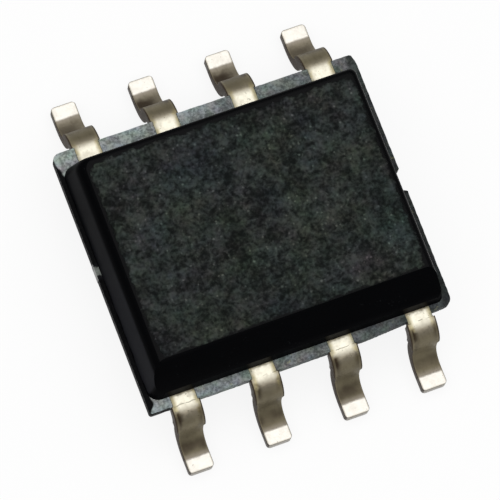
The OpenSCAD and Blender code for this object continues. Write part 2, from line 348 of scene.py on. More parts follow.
def blank_of(node):
    """A merged copy of a node of the frame, in millimetres, to cut its seat with."""
    take(frame["nodes"][node])
    bpy.ops.object.duplicate()
    blank = new_piece(node + "_blank")
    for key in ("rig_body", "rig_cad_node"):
        del blank[key]
    blank.parent = None
    blank.data.transform(Matrix.Scale(1 / MM, 4))
    blank.data.materials.clear()
    open_mesh(blank)
    bpy.ops.mesh.select_all(action="SELECT")
    bpy.ops.mesh.remove_doubles(threshold=1e-5)
    clear_bench()
    return blank


def round_corners(radius, test, segments=6):
    """Rounds the corners of a flat outline."""
    pick("VERT", test)
    bpy.ops.mesh.bevel(offset=radius, segments=segments, affect="VERTICES")


def face_out():
    """Merges doubles and turns every face outwards."""
    bpy.ops.mesh.select_all(action="SELECT")
    bpy.ops.mesh.remove_doubles(threshold=1e-5)
    bpy.ops.mesh.normals_make_consistent(inside=False)


def to_metres(piece):
    """Brings a finished piece from millimetres down to metres."""
    take(piece)
    piece.data.transform(Matrix.Scale(MM, 4))
    piece.data.update()


def dress(piece, finishes, slot, *nodes):
    """Gives a piece its finishes and its body, and hides the nodes it stands for; slot is not
    used.
    """
    for finish in finishes:
        piece.data.materials.append(finish)
    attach(piece, "root")
    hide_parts(*nodes)


# ------------------------------------------------------------- shader tools


class Value:
    """A number or vector that varies over a surface, and takes part in sums."""

    def __init__(self, finish, socket):
        self.finish = finish
        self.socket = socket

    def math(self, operation, *others):
        """Result of one Math node on this value and the others."""
        node = self.finish.node("ShaderNodeMath", {"operation": operation},
                                dict(enumerate((self, *others))))
        return Value(self.finish, node.outputs[0])

    def __add__(self, other):
        return self.math("ADD", other)

    def __mul__(self, other):
        return self.math("MULTIPLY", other)

    def __sub__(self, other):
        return self.math("SUBTRACT", other)

    def __rsub__(self, other):
        return (self * -1) + other

    __radd__ = __add__
    __rmul__ = __mul__

    def __abs__(self):
        return self.math("ABSOLUTE")

    def __pow__(self, other):
        return self.math("POWER", other)

    def least(self, other):
        """The smaller of the two."""
        return self.math("MINIMUM", other)

    def most(self, other):
        """The larger of the two."""
        return self.math("MAXIMUM", other)

    def ramp(self, low, high, to_low=0.0, to_high=1.0):
        """Eases from to_low at low to to_high at high, and holds outside."""
        node = self.finish.node(
            "ShaderNodeMapRange", {"interpolation_type": "SMOOTHSTEP", "clamp": True},
            {"Value": self, "From Min": low, "From Max": high,
             "To Min": to_low, "To Max": to_high})
        return Value(self.finish, node.outputs["Result"])


class Finish:
    """A procedural material, written from its own coordinates in millimetres."""

    def __init__(self, name, **shader):
        self.material = bpy.data.materials.new(name)
        self.material.use_nodes = True
        self.tree = self.material.node_tree
        self.shader = self.tree.nodes["Principled BSDF"]
        for key, value in shader.items():
            self.shader.inputs[key.replace("_", " ")].default_value = value
        coordinates = self.node("ShaderNodeTexCoord")
        self.normal = coordinates.outputs["Normal"]
        mapping = self.node("ShaderNodeMapping", None,
                            {"Vector": coordinates.outputs["Object"], "Scale": (1 / MM,) * 3})
        self.place = mapping.outputs["Vector"]
        self.x, self.y, self.z = self.split(self.place)
        self.nx, self.ny, self.nz = self.split(self.normal)

    def node(self, kind, settings=None, inputs=None):
        """Adds a node, sets it up, then fills or links its sockets."""
        node = self.tree.nodes.new(kind)
        for key, value in (settings or {}).items():
            setattr(node, key, value)
        for key, value in (inputs or {}).items():
            self.fill(node.inputs[key], value)
        return node

    def fill(self, socket, value):
        """Links a socket to a value or another socket, or sets it."""
        if isinstance(value, Value):
            value = value.socket
        if isinstance(value, bpy.types.NodeSocket):
            self.tree.links.new(value, socket)
        elif hasattr(socket.default_value, "__len__") and len(socket.default_value) == 4:
            socket.default_value = (*tuple(value)[:3], 1)
        else:
            socket.default_value = value

    def split(self, vector):
        """The three values of a vector or colour."""
        node = self.node("ShaderNodeSeparateXYZ", None, {0: vector})
        return [Value(self, s) for s in node.outputs]

    def noise(self, size, detail=2.0, roughness=0.5, distortion=0.0, stretch=None, seed=0.0):
        """Soft noise whose lumps are about size millimetres across, as a value round 0.5."""
        vector = self.place
        if stretch or seed:
            vector = self.node("ShaderNodeMapping", None,
                               {"Vector": vector, "Scale": stretch or (1, 1, 1),
                                "Location": (seed, seed * 1.7, seed * 0.6)}).outputs["Vector"]
        node = self.node("ShaderNodeTexNoise", None,
                         {"Vector": vector, "Scale": 1 / size, "Detail": detail,
                          "Roughness": roughness, "Distortion": distortion})
        return Value(self, node.outputs["Fac"])

    def noise_colour(self, size, seed=0.0):
        """Noise in three channels, as a colour round mid grey."""
        vector = self.node("ShaderNodeMapping", None,
                           {"Vector": self.place, "Location": (seed, -seed, seed)})
        node = self.node("ShaderNodeTexNoise", None,
                         {"Vector": vector.outputs["Vector"], "Scale": 1 / size, "Detail": 1.0})
        return node.outputs["Color"]

    def cells(self, size):
        """Distance from the middle of cells about size millimetres across."""
        node = self.node("ShaderNodeTexVoronoi", None,
                         {"Vector": self.place, "Scale": 1 / size})
        return Value(self, node.outputs["Distance"])

    def mix(self, factor, first, second, blend="MIX"):
        """Colour that goes from first to second with factor."""
        node = self.node("ShaderNodeMix", {"data_type": "RGBA", "blend_type": blend})
        self.fill(node.inputs[MIX_FACTOR], factor)
        self.fill(node.inputs[MIX_FIRST], first)
        self.fill(node.inputs[MIX_SECOND], second)
        return node.outputs[MIX_RESULT]

    def bump(self, height, distance):
        """Relief of this height, with distance in millimetres."""
        node = self.node("ShaderNodeBump", None,
                         {"Height": height, "Distance": distance * MM, "Strength": 1.0})
        return node.outputs["Normal"]

    def use(self, **sockets):
        """Links what varies to the shader, and returns the material."""
        for key, value in sockets.items():
            self.fill(self.shader.inputs[key.replace("_", " ")], value)
        return self.material


# ---------------------------------------------------------------- finishes


def scaled(shade, level):
    """A colour made darker or lighter."""
    return tuple(c * level for c in shade)


def wall_finish(s):
    """Polished walls of the moulding, with a painted reflection of the pale floor where the gate
    end faces sideways.
    """
    f = Finish("moulded_wall", Specular_IOR_Level=0.01)
    dust = f.noise(0.035, 2).ramp(0.66, 0.74) * f.noise(0.3, 1).ramp(0.5, 0.65)
    waver = (f.noise(0.25, 2) - 0.5) * 0.1
    slope = math.cos(s.gate_draft)
    # painted reflection: a pale band on the gate wall above the leadframe, stronger towards leads
    # 1 to 4
    film_and_sheen = (0 - f.nx).ramp(0.9 * slope, 0.99 * slope) * (f.z + waver).ramp(
        LEADFRAME_TOP + 0.01, LEADFRAME_TOP + 0.05)
    film_and_sheen = film_and_sheen * f.noise(0.4, 2).ramp(0.25, 0.75, 0.8, 1.1) * f.y.ramp(-1, 1, 1.1, 0.3)
    base = f.mix(film_and_sheen, s.wall_colour, s.painted_reflection_colour)
    base = f.mix(dust * 0.35, base, (0.02, 0.021, 0.022))
    rough = f.noise(0.5, 2).ramp(0.3, 0.7, -0.04, 0.06) + film_and_sheen * 0.1 + s.wall_roughness
    return f.use(Base_Color=base, Roughness=rough, Normal=f.bump(f.noise(0.04, 3, 0.6), 0.001))


def grain_edges(s):
    """Left, right, near and far edges of the grained field, set out from the flat top face."""
    left, right, near, far = top_edges(s)
    past_gate, past_end, short_near, short_far = 0.06, 0.02, 0.02, 0.005
    return Sides(left - past_gate, right + past_end, near + short_near, far - short_far)


def grain_finish(s):
    """Spark-eroded grain of the top face, with painted glints, which runs out in a ragged border.
    """
    left, right, near, far = grain_edges(s)
    f = Finish("grained_top", Specular_IOR_Level=0.06)
    ragged = (f.noise(0.16, 3, 0.65) - 0.5) * (s.grain_border / MM)
    corner = s.grain_corner / MM
    along = (corner - (f.x - left).least(right - f.x)).most(0)
    across = (corner - (f.y - near).least(far - f.y)).most(0)
    inside = corner - (along * along + across * across) ** 0.5
    grained = (inside + ragged).ramp(-0.015, 0.035)
    speck = f.noise(0.055, 1, 0.5)
    lump = f.noise(0.12, 2, 0.5, distortion=0.8, seed=2.0)
    patch = f.noise(0.32, 2, 0.5, distortion=0.8, seed=4.0)
    broad = f.noise(1.3, 2, 0.5, seed=6.0)
    light = speck * 0.38 + lump * 0.5 + patch * 0.38 + broad * 0.22
    light = light.ramp(0.52, 0.99) ** 1.35
    # painted glints: small bright spots where light would catch tiny facets of the grain
    cell = f.node("ShaderNodeTexVoronoi", {"feature": "SMOOTH_F1"},
                  {"Vector": f.place, "Scale": 1 / 0.065, "Smoothness": 0.3})
    chance = f.split(cell.outputs["Color"])[0]
    flake_and_glint = (0.42 - Value(f, cell.outputs["Distance"])).ramp(0.0, 0.3) * chance.ramp(0.55, 0.95)
    flake_and_glint = flake_and_glint * (lump * 0.5 + patch * 0.5).ramp(0.42, 0.62)
    shade = f.mix(light, s.grain_dark, s.grain_pale)
    shade = f.mix(flake_and_glint * 0.5, shade, s.glint_colour)
    tint = f.mix(0.5, (0.5, 0.5, 0.5), f.noise_colour(0.13))
    tint = f.mix(0.5, tint, f.noise_colour(0.7, 3.0))
    shade = f.mix(0.52, shade, tint, "OVERLAY")
    base = f.mix(grained, s.wall_colour, shade)
    rough = grained * (s.grain_roughness - s.wall_roughness) + s.wall_roughness
    height = (speck * 0.6 + lump) * grained
    return f.use(Base_Color=base, Roughness=rough, Normal=f.bump(height, 0.012))


def rim_finish(s):
    """Rim of flash under a mottled dust, thick at the gate and thin at the other end."""
    f = Finish("flash_rim", Specular_IOR_Level=0.05)
    end = block_sides(s).end
    from_gate = f.x + RIM_X
    speck = f.noise(0.04, 2, 0.6)
    patch = f.noise(0.2, 2)
    dust = (1 - f.x * 0.25 + f.y * 0.1).most(0.3) * f.x.ramp(end - 0.05, end + 0.01, 1.0, 0.42)
    light = (speck * 0.6 + patch * 0.4).ramp(0.35, 0.66, 0.5, 1.5) * dust
    shade = f.mix(light * 0.5, s.wall_colour, scaled(s.rim_colour, 2))
    shade = f.mix(0.2, shade, f.noise_colour(0.2, 2.0), "OVERLAY")
    fleck = f.noise(0.07, 1, seed=8.0).ramp(0.68, 0.76) * f.noise(0.5, 1).ramp(0.45, 0.6)
    shade = f.mix(fleck * 0.6, shade, (0.30, 0.30, 0.17))
    broken = abs(f.ny).ramp(0.75, 0.95) * from_gate.ramp(0.3, 0.35)
    open_face = f.nz.ramp(0.2, 0.7).most(broken)
    # along the gate the rim is left as dark as the walls, over about the ledge's width beside the
    # block and narrowing towards the ends
    strip_scale = f.y.ramp(0.76 * RIM_Y, 0.92 * RIM_Y, 1.4, 0.1).least(
        f.y.ramp(-0.99 * RIM_Y, -0.93 * RIM_Y, 0.1, 1.4))
    dark_strip = strip_scale * (s.gate_ledge / MM)
    ledge = (from_gate - dark_strip + (patch - 0.5) * 0.1).ramp(0.0, 0.03)
    base = f.mix(open_face * ledge, s.wall_colour, shade)
    return f.use(Base_Color=base, Roughness=speck.ramp(0.3, 0.7, 0.5, 0.7),
                 Normal=f.bump(speck + patch, 0.012))


def plate_finish(s, rim_width):
    """Tin plating: bright on the flats, dark on the sheared sides, with painted shade and painted
    reflection over the bends, legs and heels.

    rim_width is how far the rim stands out under leads 1 to 4, over which a painted reflection of
    the dark wall runs in.
    """
    f = Finish("tin_plate", Specular_IOR_Level=0.2)
    # places on a lead: out beyond the rim, across to its edge, far row or near, high or low
    pitch = s.pitch / MM
    half = s.lead_width / MM / 2
    crease = FOOT_TIP - s.foot_crease / MM
    sideways = f.x.math("WRAP", 0.0, -pitch) + pitch / 2
    edge = abs(sideways) - half
    reach = abs(f.y)
    out = reach - RIM_Y
    nearer = f.y.ramp(-1, 1, 1.0, 0.0)
    farther = 1 - nearer
    upper = f.z.ramp(0.5, 0.6)
    lower = 1 - upper
    blotch = f.noise(0.13, 2, 0.55)
    fine = f.noise(0.03, 2, 0.6)
    patch = f.noise(0.3, 1, seed=7.0)
    waver = (blotch - 0.5) * 0.05
    # where the shoulder bend is painted in shade, in two steps, and where the foot is pressed flat
    stretch = (out + farther * 0.09 + waver).ramp(0.0, 0.15)
    bend_shade = (out + farther * 0.14).ramp(0.1, 0.28)
    pressed = (reach + waver * 0.4).ramp(crease - 0.02, crease + 0.02)
    dull = upper * bend_shade + lower * (1 - pressed)
    # tones of the flats, then painted shade on the legs, heels, bends and sides of the flats,
    # painted lighter on the far legs and up the heels towards the foot
    bright = f.mix(upper, s.plate, s.flat)
    bright = f.mix(blotch.ramp(0.3, 0.6, 1.0, 0.0) * upper.ramp(0, 1, 0.15, 0.4), bright, s.bend)
    leg = f.mix(patch.ramp(0.3, 0.7), scaled(s.leg_shade, 0.85), scaled(s.leg_shade, 1.15))
    leg = f.mix(farther * out.ramp(0.3, 0.5) * 0.6, leg, s.bend)
    leg = f.mix(reach.ramp(crease - 0.1, crease) * 0.7, leg, s.heel_light)
    top = f.mix(stretch, bright, s.bend)
    fringe = edge.ramp(-0.09, -0.02) * blotch.ramp(0.35, 0.6)
    top = f.mix(fringe * 0.6, top, s.fringe)
    shaded = (edge + waver).ramp(-0.09, 0.0) * out.ramp(0.0, 0.1, 1.0, 0.2)
    top = f.mix(shaded * 0.75, top, s.leg_shade)
    # painted reflection of the dark wall on the near row's flats, next to the wall
    wall_reflection = (out + rim_width + waver).ramp(0.0, 0.05, 0.85, 0.0) * nearer
    top = f.mix(wall_reflection, top, s.leg_shade)
    top = f.mix(bend_shade, top, leg)
    # painted shade on the far side of the far row's shoulder bends
    brow = out.ramp(0.2, 0.33) * farther * 0.55
    top = f.mix(brow, top, s.cut)
    base = f.mix(upper, f.mix(pressed, leg, bright), top)
    # streaks, painted shade behind the legs and by the stubs of the far row, film and seam at the
    # rim, then painted shade on the heels and by the stubs of the near row, and specks
    streak = f.noise(0.045, 2, 0.6, stretch=(1, 0.3, 0.3), seed=3.0)
    base = f.mix(streak.ramp(0.5, 0.75) * dull * 0.22, base, s.cut)
    # painted shade behind the far row's legs and by their stubs, weaker on the outer leads
    behind = (out + waver * 3).ramp(0.5, 0.68, 1.0, 0.0) * (
        sideways + waver * 3).ramp(-half * 0.2, half, 1.0, 0.0) * lower
    ear = (out + waver).ramp(0.2, 0.28) * (sideways + waver).ramp(half - 0.14, half - 0.04) * upper
    far_row_shade = behind.most(ear) * farther * abs(f.x + 0.2).ramp(0.8, 1.8, 0.95, 0.5)
    base = f.mix(far_row_shade, base, s.cut)
    film_and_sheen = (edge + (f.noise(0.06, 2) - 0.5) * 0.1).ramp(-0.03, 0.0) * out.ramp(
        -0.02, 0.0, 1.0, 0.0)
    base = f.mix(film_and_sheen * 0.7, base, (0.2, 0.21, 0.15))
    seam = abs(out - waver).ramp(0.003, 0.012, 1.0, 0.0) * f.noise(0.09, 1).ramp(
        0.42, 0.55) * (0 - f.y).ramp(0, 1) * upper
    base = f.mix(seam * 0.6, base, (0.10, 0.085, 0.05))
    # painted shade: a dark band across the heels, stronger on the near row
    heel = abs(reach + waver * 2 - crease + 0.17).ramp(0.02, 0.13, 1.0, 0.0) * lower
    heel = heel * patch.ramp(0.4, 0.6, 0.7, 0.4) * nearer.ramp(0, 1, 0.25, 1.0)
    base = f.mix(heel, base, s.cut)
    # painted shade along the sides of the near row's bends, by the stubs
    near_stub_shade = (sideways + waver).ramp(0.03 - half, 0.13 - half, 1.0, 0.0).most(
        (sideways + waver).ramp(half - 0.1, half) * 0.8)
    near_stub_shade = near_stub_shade * (out + waver).ramp(0.05, 0.13) * out.ramp(
        0.22, 0.34, 1.0, 0.2) * upper * nearer
    base = f.mix(near_stub_shade * f.noise(0.2, 1, seed=5.0).ramp(0.3, 0.44), base, s.cut)
    specks = f.noise(0.05, 1, seed=9.0).ramp(0.7, 0.78)
    base = f.mix(specks * 0.5, base, (0.09, 0.08, 0.05))
    # dark borders and sheared sides
    border = edge.ramp(-0.03, -0.008).most(reach.ramp(FOOT_TIP - 0.03, FOOT_TIP))
    border = border * out.ramp(0.0, 0.1)
    base = f.mix(border * 0.6, base, scaled(s.leg_shade, 1.2))
    tip = abs(f.ny).ramp(0.3, 0.7) * reach.ramp(FOOT_TIP - 0.05, FOOT_TIP - 0.03)
    side = abs(f.nx).ramp(0.35, 0.75).most(edge.ramp(0.004, 0.02))
    base = f.mix(side.most(tip * 0.5), base, s.cut)
    rough = fine.ramp(0.3, 0.7, -0.05, 0.09) + side * 0.15 + s.plate_roughness
    scratch = f.noise(0.02, 2, 0.6, stretch=(1, 0.12, 0.12))
    height = blotch * 0.7 + fine * 0.2 + scratch * 0.15 + pressed * lower * 0.5
    metal = 1 - (side * 0.65).most(dull * 0.6)
    return f.use(Base_Color=base, Metallic=metal, Roughness=rough + dull * 0.15,
                 Normal=f.bump(height, 0.01))


def inside_finishes(s):
    """Finishes of the pieces sealed in the moulding."""
    made = {}
    f = Finish("rolled_copper", Metallic=1.0)
    streak = f.noise(0.02, 3, stretch=(0.05, 1, 1))
    base = f.mix(streak, scaled(s.copper, 0.8), s.copper)
    smear = (abs(f.y - s.gate_bar / MM) + (f.noise(0.06, 2) - 0.5) * 0.1).ramp(0.05, 0.09)
    base = f.mix(abs(f.x).ramp(RIM_X - 0.12, RIM_X - 0.1), base,
                 f.mix(smear, (0.12, 0.13, 0.12), (0.006, 0.006, 0.007)))
    made["die_pad"] = f.use(Base_Color=base, Roughness=streak.ramp(0.3, 0.7, 0.28, 0.45),
                            Normal=f.bump(streak, 0.002))
    f = Finish("silver_adhesive", Metallic=0.4)
    flake_and_glint = f.cells(0.02)
    base = f.mix(flake_and_glint, s.adhesive, scaled(s.adhesive, 0.6))
    made["die_attach"] = f.use(Base_Color=base, Roughness=flake_and_glint.ramp(0, 1, 0.4, 0.7),
                               Normal=f.bump(flake_and_glint, 0.003))
    f = Finish("polished_silicon", Metallic=0.5)
    cell = f.cells(0.09)
    circuit = f.node("ShaderNodeTexBrick", {"offset": 0.5},
                     {"Vector": f.place, "Scale": 9.0, "Mortar Size": 0.06,
                      "Color1": (0.16, 0.13, 0.2), "Color2": (0.09, 0.13, 0.17),
                      "Mortar": (0.05, 0.05, 0.07)})
    base = f.mix(f.nz.ramp(0.5, 0.9), s.silicon, circuit.outputs["Color"])
    made["silicon_die"] = f.use(Base_Color=base, Roughness=cell.ramp(0, 1, 0.12, 0.3))
    f = Finish("drawn_gold", Metallic=1.0)
    draw = f.noise(0.01, 2)
    base = f.mix(draw, scaled(s.gold, 0.85), s.gold)
    made["bond_wire"] = f.use(Base_Color=base, Roughness=draw.ramp(0.3, 0.7, 0.15, 0.3),
                              Normal=f.bump(draw, 0.001))
    return made


# ---------------------------------------------------------------- modelling


def wall_inset(z, height, draft, radius):
    """How far a drafted wall stands in at height z, with its top edge rounded."""
    middle = height - radius
    if z <= middle + radius * math.sin(draft):
        return z * math.tan(draft)
    reach = middle * math.tan(draft) + radius / math.cos(draft)
    return reach - math.sqrt(max(0.0, radius ** 2 - (z - middle) ** 2))


def grow(old, new):
    """Extrudes the selected outline from one box (left, right, near, far, z) to another."""
    shift = [(new[0] + new[1] - old[0] - old[1]) / 2,
             (new[2] + new[3] - old[2] - old[3]) / 2, new[4] - old[4]]
    extrude(*shift)
    wide = (new[1] - new[0]) / (old[1] - old[0])
    deep = (new[3] - new[2]) / (old[3] - old[2])
    bpy.ops.transform.resize(
        value=(wide, deep, 1),
        center_override=((new[0] + new[1]) / 2, (new[2] + new[3]) / 2, new[4]))


def top_edges(s):
    """Left, right, near and far edges of the flat top face, in millimetres."""
    gate, end, near, far = block_sides(s)
    height = TOP_Z - LEADFRAME_TOP
    return Sides(gate + wall_inset(height, height, s.gate_draft, s.gate_edge / MM),
                 end - wall_inset(height, height, s.end_draft, s.edge_radius / MM),
                 near + height * math.tan(s.side_draft) + s.index_flat / MM,
                 far - wall_inset(height, height, s.side_draft, s.edge_radius / MM))


def block_sides(s):
    """Gate, end, near and far sides of the block at the leadframe, in millimetres."""
    gate = s.gate_ledge / MM - RIM_X
    middle = -s.block_shift / MM
    half = s.block_width / MM / 2
    return Sides(gate, gate + s.block_length / MM, middle - half, middle + half)


def model_block(s, thickness):
    """Upper and lower half of the block, grown from one outline in the leadframe."""
    gate, end, near, far = block_sides(s)
    mid_z = LEADFRAME_TOP - thickness / 2
    tuck = 0.02
    seat = (gate + tuck, end - tuck, near + tuck, far - tuck, mid_z)
    block = add_sheet("moulding", *seat)
    open_mesh(block)
    round_corners(s.gate_corner / MM - tuck, lambda v: v.co.x < 0)
    round_corners(s.end_corner / MM - tuck, lambda v: v.co.x > end - 2 * tuck)
    foot = (gate, end, near, far, LEADFRAME_TOP)
    height = TOP_Z - LEADFRAME_TOP
    steps = 7
    radius = s.gate_edge / MM
    levels = [height - radius + radius * math.sin(s.side_draft + (math.pi / 2 - s.side_draft)
                                                  * k / steps) for k in range(steps + 1)]
    bpy.ops.mesh.select_all(action="SELECT")
    grow(seat, foot)
    last = foot
    for z in levels:
        new = (gate + wall_inset(z, height, s.gate_draft, s.gate_edge / MM),
               end - wall_inset(z, height, s.end_draft, s.edge_radius / MM),
               near + z * math.tan(s.side_draft),
               far - wall_inset(z, height, s.side_draft, s.edge_radius / MM),
               LEADFRAME_TOP + z)
        grow(last, new)
        last = new
    # the index flat, sawn off at 45 degrees and filled
    bpy.ops.mesh.select_all(action="SELECT")
    bpy.ops.mesh.bisect(plane_co=(0, last[2] + s.index_flat / MM, TOP_Z), plane_no=(0, -1, 1),
                        use_fill=True, clear_outer=True)
    # the lower half
    leadframe_base = LEADFRAME_TOP - thickness
    pick("FACE", lambda p: abs(place(p).z - mid_z) < 1e-4)
    root = (gate, end, near, far, leadframe_base)
    grow(seat, root)
    drop = leadframe_base - BASE_Z
    edge = 0.03
    last = root
    for z, extra in ((drop - edge, 0), (drop - 0.3 * edge, 0.3 * edge), (drop, edge)):
        lean = z * math.tan(s.side_draft) + extra
        new = (gate + lean, end - lean, near + lean, far - lean, leadframe_base - z)
        grow(last, new)
        last = new
    face_out()
    clear_bench()
    return block


def model_rim(s, thickness):
    """Rim of flash at the leadframe's level, with its chip, its notch and its broken edge."""
    wear = s.rim_wear / MM
    rim = add_sheet("rim", -RIM_X + wear, RIM_X - wear, -RIM_Y + wear, RIM_Y - wear,
                    LEADFRAME_TOP - thickness)
    open_mesh(rim)
    # the chip at lead 5 and the break at lead 4, each cut off by a slanting plane
    for y, normal in ((RIM_Y - s.rim_chip / MM, (0.97, 0.24, 0)),
                      (s.rim_break / MM - RIM_Y, (0.06, -1, 0))):
        bpy.ops.mesh.select_all(action="SELECT")
        bpy.ops.mesh.bisect(plane_co=(RIM_X, y, 0), plane_no=normal, clear_outer=True)
    round_corners(s.rim_radius / MM, lambda v: abs(v.co.x) > RIM_X - 2 * wear
                  and v.co.x * v.co.y < 0)
    round_corners(s.rim_tip / MM, lambda v: abs(v.co.x) > RIM_X - 0.1 and v.co.x * v.co.y > 0)
    # the long edges wander, all but the one at the gate
    pick("EDGE", lambda p: p.calc_length() > 1)
    bpy.ops.mesh.subdivide(number_cuts=70)
    pick("VERT", lambda v: v.co.x > -RIM_X + 0.2)
    bpy.ops.transform.vertex_random(offset=wear, uniform=1, normal=0, seed=3)
    pick("VERT", lambda v: True)
    bpy.ops.transform.resize(value=(1, 1, 0), center_override=(0, 0, LEADFRAME_TOP - thickness))
    pick("FACE", lambda p: True)
    extrude(z=thickness)
    face_out()
    # the notch, a wedge that flares outwards
    end = block_sides(s).end
    half = s.notch_width / MM / 2
    wedge_low, wedge_high, past, flare = 0.5, 1.2, 0.2, 1.9
    pivot = (RIM_X, 0, 0.8)
    wedge = add_box("wedge", (end, -half, wedge_low), (RIM_X + past, half, wedge_high))
    open_mesh(wedge)
    pick("FACE", lambda p: p.normal.x > 0.9)
    bpy.ops.transform.resize(value=(1, flare, 1), center_override=pivot)
    carve(rim, "DIFFERENCE", wedge)
    open_mesh(rim)
    pick("EDGE", lambda p: place(p).x > RIM_X - 0.03 and abs(place(p).y) < 3 * half
         and abs(p.verts[0].co.z - p.verts[1].co.z) > thickness / 2
         and p.calc_face_angle(0) > 0.5)
    bpy.ops.mesh.bevel(offset=s.notch_corner / MM, segments=4)
    pick("EDGE", lambda p: abs(p.verts[0].co.z - p.verts[1].co.z) < 1e-6)
    bpy.ops.mesh.bevel(offset=s.rim_edge / MM, segments=2)
    face_out()
    clear_bench()
    return rim


def lay_grain(block, s):
    """Replaces the flat top face by a fine sheet that carries the grain."""
    left, right, near, far = top_edges(s)
    margin = 0.06
    cell = s.grain_cell / MM
    low = Vector((left + margin, near + 0.02, TOP_Z))
    high = Vector((right - margin, far - margin, TOP_Z))
    across = int((high.x - low.x) / cell)
    along = int((high.y - low.y) / cell)
    clear_bench()
    bpy.ops.mesh.primitive_grid_add(x_subdivisions=across, y_subdivisions=along, size=1,
                                    location=(low + high) / 2)
    sheet = new_piece("grain_sheet")
    sheet.scale = (high.x - low.x, high.y - low.y, 1)
    bpy.ops.object.transform_apply(location=True, rotation=False, scale=True)
    open_mesh(sheet)
    inner = 2.2 * cell
    pick("VERT", lambda v: low.x + inner < v.co.x < high.x - inner
         and low.y + inner < v.co.y < high.y - inner)
    depth = s.grain_depth / MM
    bpy.ops.transform.vertex_random(offset=depth, uniform=0, normal=1, seed=11)
    bpy.ops.transform.translate(value=(0, 0, -depth))
    clear_bench()
    open_mesh(block)
    pick("FACE", lambda p: p.normal.z > 0.99 and abs(place(p).z - TOP_Z) < 1e-3)
    bpy.ops.mesh.delete(type="ONLY_FACE")
    take(block, sheet)
    bpy.ops.object.join()
    open_mesh(block)
    pick("EDGE", lambda p: p.is_boundary)
    bpy.ops.mesh.fill()
    face_out()
    clear_bench()


def share_out_faces(block, s, thickness):
    """Gives the top face, the rim and the walls their own finish."""
    gate, end, near, far = block_sides(s)
    slack = 0.001
    base = LEADFRAME_TOP - thickness - 10 * slack
    gate_strip = 0.05
    grain_drop = 0.03

    def finish_of(middle, normal):
        if middle.z > TOP_Z - grain_drop and normal.z > 0.7:
            return GRAIN
        outside = middle.x > end - slack or middle.y < near or middle.y > far or (
            normal.z > 0.9 and base < middle.z < LEADFRAME_TOP + slack)
        if base < middle.z < LEADFRAME_TOP + 2 * slack and (
                outside or middle.x < gate + gate_strip):
            return RIM
        return WALL

    for face in block.data.polygons:
        face.material_index = finish_of(face.center / MM, face.normal)


def model_lead(s, name, tip, lean):
    """One lead, with its middle at x = 0 and its foot towards +y, in millimetres.

    tip is where it starts inside the moulding. lean is 0 for a middle lead, and for a corner
    lead 1 or -1, the side that its head leans to.
    """
    half = s.lead_width / MM / 2
    thick = s.thickness / MM
    base = LEADFRAME_TOP - thick
    start = RIM_Y - s.shoulder_tuck / MM
    lead = add_box(name, (-half, tip, base), (half, start, LEADFRAME_TOP))
    open_mesh(lead)
    inner, heel = s.shoulder_radius / MM, s.heel_radius / MM
    shoulder_z = base - inner
    heel_z = thick + heel
    reach = inner + thick + heel
    slope = s.leg_angle
    leg = (shoulder_z - heel_z + reach * math.cos(slope)) / math.sin(slope)
    heel_y = start + reach * math.sin(slope) + leg * math.cos(slope)
    pick("FACE", lambda p: p.normal.y > 0.9)
    bpy.ops.mesh.spin(steps=12, angle=slope, center=(0, start, shoulder_z), axis=(1, 0, 0))
    # down the leg, with a cut where the stubs run out
    stub_low = shoulder_z + (inner + thick) * math.cos(slope)
    taper = s.stub_taper / MM
    cut = taper / math.sin(slope)
    for step in (cut, leg - cut):
        extrude(y=step * math.cos(slope), z=-step * math.sin(slope))
    bpy.ops.mesh.spin(steps=10, angle=slope, center=(0, heel_y, heel_z), axis=(-1, 0, 0))
    extrude(y=FOOT_TIP - heel_y)
    face_out()
    # stubs of the dam bar, drawn out of both sides and run out at their foot
    bpy.ops.mesh.select_all(action="SELECT")
    bpy.ops.mesh.bisect(plane_co=(0, RIM_Y, 0), plane_no=(0, 1, 0))
    stub = s.stub / MM
    for hand in (-1, 1):
        pick("FACE", lambda p: p.normal.x * hand > 0.9 and place(p).y > RIM_Y
             and place(p).z > stub_low - taper)
        extrude(x=hand * stub)
        pick("VERT", lambda v: v.co.x * hand > half + stub / 2 and v.co.z < stub_low - 0.8 * taper)
        bpy.ops.transform.translate(value=(-hand * stub, 0, 0))
    face_out()
    # rounded corners of the foot
    pick("EDGE", lambda p: abs(p.verts[0].co.x - p.verts[1].co.x) < 1e-5
         and place(p).y > FOOT_TIP - 1e-4 and abs(p.verts[0].co.z - p.verts[1].co.z) > thick / 2)
    bpy.ops.mesh.bevel(offset=s.toe_radius / MM, segments=5)
    model_head(s, tip, lean, half)
    clear_bench()
    if lean:
        hole = s.lock_hole / MM / 2
        pin = add_pin("pin", lean * head_shift(s), tip + s.hole_inset / MM + hole,
                      base - thick, LEADFRAME_TOP + thick, hole)
        carve(lead, "DIFFERENCE", pin)
    finish_with(lead, "BEVEL", width=s.edge_radius / MM, segments=3, limit_method="ANGLE",
                angle_limit=math.radians(50), harden_normals=False)
    take(lead)
    bpy.ops.object.shade_smooth_by_angle(angle=math.radians(35))
    return lead


def head_shift(s):
    """Sideways shift of a corner lead's head, away from the end of the package."""
    return CORNER_HIGH.x - s.corner_head / MM / 2 + 1.5 * s.pitch / MM


def model_head(s, tip, lean, half):
    """Draws the locking head out of both sides of the open lead's inner end."""
    if lean:
        wide = s.corner_head / MM
        deep = (s.hole_inset + s.lock_hole + s.hole_wall) / MM
    else:
        wide = s.head_width / MM
        deep = s.head_depth / MM
    bpy.ops.mesh.select_all(action="SELECT")
    bpy.ops.mesh.bisect(plane_co=(0, tip + deep, 0), plane_no=(0, 1, 0))
    for hand in (-1, 1):
        pick("FACE", lambda p: p.normal.x * hand > 0.9 and place(p).y < tip + deep)
        extrude(x=lean * head_shift(s) + hand * (wide / 2 - half))
    face_out()


